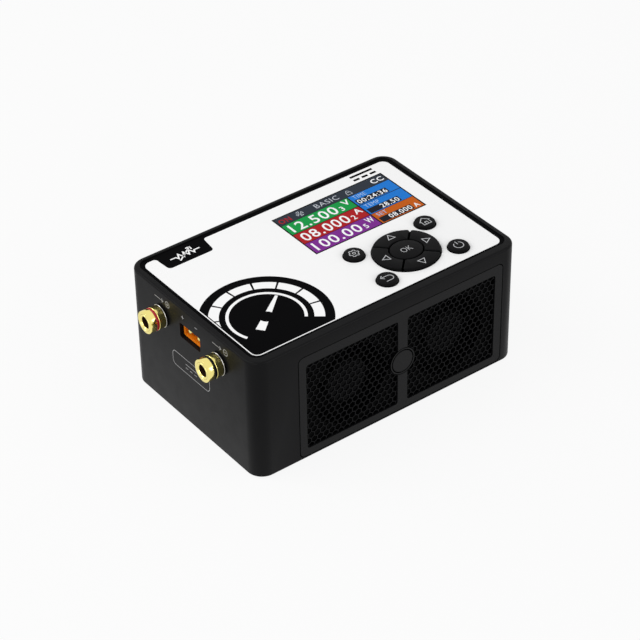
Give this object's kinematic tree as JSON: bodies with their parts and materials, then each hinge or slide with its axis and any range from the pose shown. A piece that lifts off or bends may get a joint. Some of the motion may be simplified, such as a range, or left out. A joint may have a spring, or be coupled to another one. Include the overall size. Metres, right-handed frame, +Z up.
{
  "type": "dc electronic load",
  "caption": "Compact black bench load: colour display and round key pad on top, screw binding posts and a sense socket on one end, honeycomb fan grille on the side.",
  "frame": {"origin": "middle of the whole outline, posts included, on the plane that the feet stand on", "axes": "+X along the case away from the binding posts, -Y out of the fan grille, +Z up"},
  "size_m": [0.1104, 0.068, 0.0457],
  "materials": {
    "case_plastic": "satin black moulded plastic",
    "panel_white": "printed white sheet with a black border",
    "display_glass": "gloss black cover glass",
    "key_rubber": "satin black",
    "grille_plastic": "satin black",
    "fan_plastic": "matt black",
    "gold_plate": "polished gold plate",
    "nickel_plate": "bright nickel",
    "red_plastic": "gloss red",
    "black_plastic": "satin black",
    "orange_plastic": "satin orange",
    "board_green": "green solder mask",
    "aluminium": "extruded",
    "steel": "plain",
    "copper": "plain",
    "foot_rubber": "matt"
  },
  "bodies": {
    "root": {"housing": "case_plastic", "bottom_cover": "case_plastic", "top_panel": "panel_white", "display_glass": "display_glass", "display_module": "steel", "switch_ok": "black_plastic", "switch_up": "black_plastic", "switch_right": "black_plastic", "switch_down": "black_plastic", "switch_left": "black_plastic", "switch_settings": "black_plastic", "switch_home": "black_plastic", "switch_return": "black_plastic", "switch_power": "black_plastic", "key_board": "board_green", "main_board": "board_green", "heat_sink": "aluminium", "transistor_left": "black_plastic", "transistor_right": "black_plastic", "grille": "grille_plastic", "fan_frame_left": "fan_plastic", "fan_frame_right": "fan_plastic", "post_core_positive": "gold_plate", "post_core_negative": "gold_plate", "post_washer_positive": "nickel_plate", "post_washer_negative": "nickel_plate", "post_insulator_positive": "black_plastic", "post_insulator_negative": "black_plastic", "post_nut_positive": "nickel_plate", "post_nut_negative": "nickel_plate", "terminal_strap_positive": "copper", "terminal_strap_negative": "copper", "sense_connector": "orange_plastic", "sense_contact_positive": "gold_plate", "sense_contact_negative": "gold_plate", "usb_socket": "steel", "screw_1": "steel", "screw_2": "steel", "screw_3": "steel", "screw_4": "steel", "foot_1": "foot_rubber", "foot_2": "foot_rubber", "foot_3": "foot_rubber", "foot_4": "foot_rubber"},
    "ok_key": {"key_ok": "key_rubber"},
    "up_key": {"key_up": "key_rubber"},
    "right_key": {"key_right": "key_rubber"},
    "down_key": {"key_down": "key_rubber"},
    "left_key": {"key_left": "key_rubber"},
    "settings_key": {"key_settings": "key_rubber"},
    "home_key": {"key_home": "key_rubber"},
    "return_key": {"key_return": "key_rubber"},
    "power_key": {"key_power": "key_rubber"},
    "left_rotor": {"fan_rotor_left": "fan_plastic"},
    "right_rotor": {"fan_rotor_right": "fan_plastic"},
    "positive_ring": {"post_ring_positive": "red_plastic"},
    "positive_cap": {"post_cap_positive": "gold_plate"},
    "negative_ring": {"post_ring_negative": "black_plastic"},
    "negative_cap": {"post_cap_negative": "gold_plate"}
  },
  "joints": [
    {"name": "ok_press", "type": "slide", "parent": "root", "child": "ok_key", "axis": [0, 0, -1], "range_m": [0, 0.0005], "stiffness_N_per_m": 400, "springref_m": -0.0005},
    {"name": "up_press", "type": "slide", "parent": "root", "child": "up_key", "axis": [0, 0, -1], "range_m": [0, 0.0005], "stiffness_N_per_m": 400, "springref_m": -0.0005},
    {"name": "right_press", "type": "slide", "parent": "root", "child": "right_key", "axis": [0, 0, -1], "range_m": [0, 0.0005], "stiffness_N_per_m": 400, "springref_m": -0.0005},
    {"name": "down_press", "type": "slide", "parent": "root", "child": "down_key", "axis": [0, 0, -1], "range_m": [0, 0.0005], "stiffness_N_per_m": 400, "springref_m": -0.0005},
    {"name": "left_press", "type": "slide", "parent": "root", "child": "left_key", "axis": [0, 0, -1], "range_m": [0, 0.0005], "stiffness_N_per_m": 400, "springref_m": -0.0005},
    {"name": "settings_press", "type": "slide", "parent": "root", "child": "settings_key", "axis": [0, 0, -1], "range_m": [0, 0.0005], "stiffness_N_per_m": 400, "springref_m": -0.0005},
    {"name": "home_press", "type": "slide", "parent": "root", "child": "home_key", "axis": [0, 0, -1], "range_m": [0, 0.0005], "stiffness_N_per_m": 400, "springref_m": -0.0005},
    {"name": "return_press", "type": "slide", "parent": "root", "child": "return_key", "axis": [0, 0, -1], "range_m": [0, 0.0005], "stiffness_N_per_m": 400, "springref_m": -0.0005},
    {"name": "power_press", "type": "slide", "parent": "root", "child": "power_key", "axis": [0, 0, -1], "range_m": [0, 0.0005], "stiffness_N_per_m": 400, "springref_m": -0.0005},
    {"name": "left_fan_spin", "type": "hinge", "parent": "root", "child": "left_rotor", "pos_m": [-0.01188, -0.0263, 0.02035], "axis": [0, -1, 0], "continuous": true},
    {"name": "right_fan_spin", "type": "hinge", "parent": "root", "child": "right_rotor", "pos_m": [0.02768, -0.0263, 0.02035], "axis": [0, -1, 0], "continuous": true},
    {"name": "positive_ring_slide", "type": "slide", "parent": "root", "child": "positive_ring", "axis": [-1, 0, 0], "range_m": [0, 0.003]},
    {"name": "positive_cap_turn", "type": "hinge", "parent": "positive_ring", "child": "positive_cap", "pos_m": [-0.0488, 0.0155, 0.0356], "axis": [-1, 0, 0], "range_deg": [0, 1080]},
    {"name": "negative_ring_slide", "type": "slide", "parent": "root", "child": "negative_ring", "axis": [-1, 0, 0], "range_m": [0, 0.003]},
    {"name": "negative_cap_turn", "type": "hinge", "parent": "negative_ring", "child": "negative_cap", "pos_m": [-0.0488, -0.0155, 0.0356], "axis": [-1, 0, 0], "range_deg": [0, 1080]}
  ],
  "couplings": [
    {"joint": "positive_cap_turn", "follows": "positive_ring_slide", "rad_per_m": 6283.2},
    {"joint": "negative_cap_turn", "follows": "negative_ring_slide", "rad_per_m": 6283.2}
  ]
}
